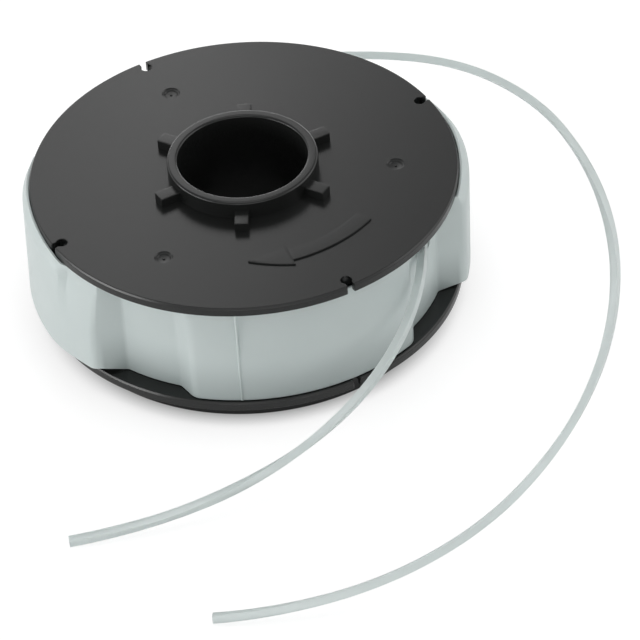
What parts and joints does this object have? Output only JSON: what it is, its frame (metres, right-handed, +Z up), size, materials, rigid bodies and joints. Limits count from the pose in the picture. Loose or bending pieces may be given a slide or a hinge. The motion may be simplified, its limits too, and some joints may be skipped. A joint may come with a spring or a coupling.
{
  "type": "trimmer line spool",
  "caption": "Flanged spool of grass trimmer line in a soft lobed retaining band, with drive lugs round its central bore, parking notches in the rims and loose line ends.",
  "frame": {"origin": "on the spool's axis, at the level of the surface that the foot ring stands on", "axes": "+Z up along the bore to the collar and drive lugs; +X through one of the parking notches"},
  "size_m": [0.157, 0.1677, 0.0383],
  "materials": {
    "black_plastic": "satin moulded plastic",
    "milky_band": "smooth milky soft plastic",
    "nylon_line": "extruded translucent nylon"
  },
  "bodies": {
    "root": {"spool_body": "black_plastic", "upper_winding": "nylon_line", "lower_winding": "nylon_line", "retaining_band": "milky_band", "front_line_end": "nylon_line", "rear_line_end": "nylon_line"}
  },
  "joints": []
}
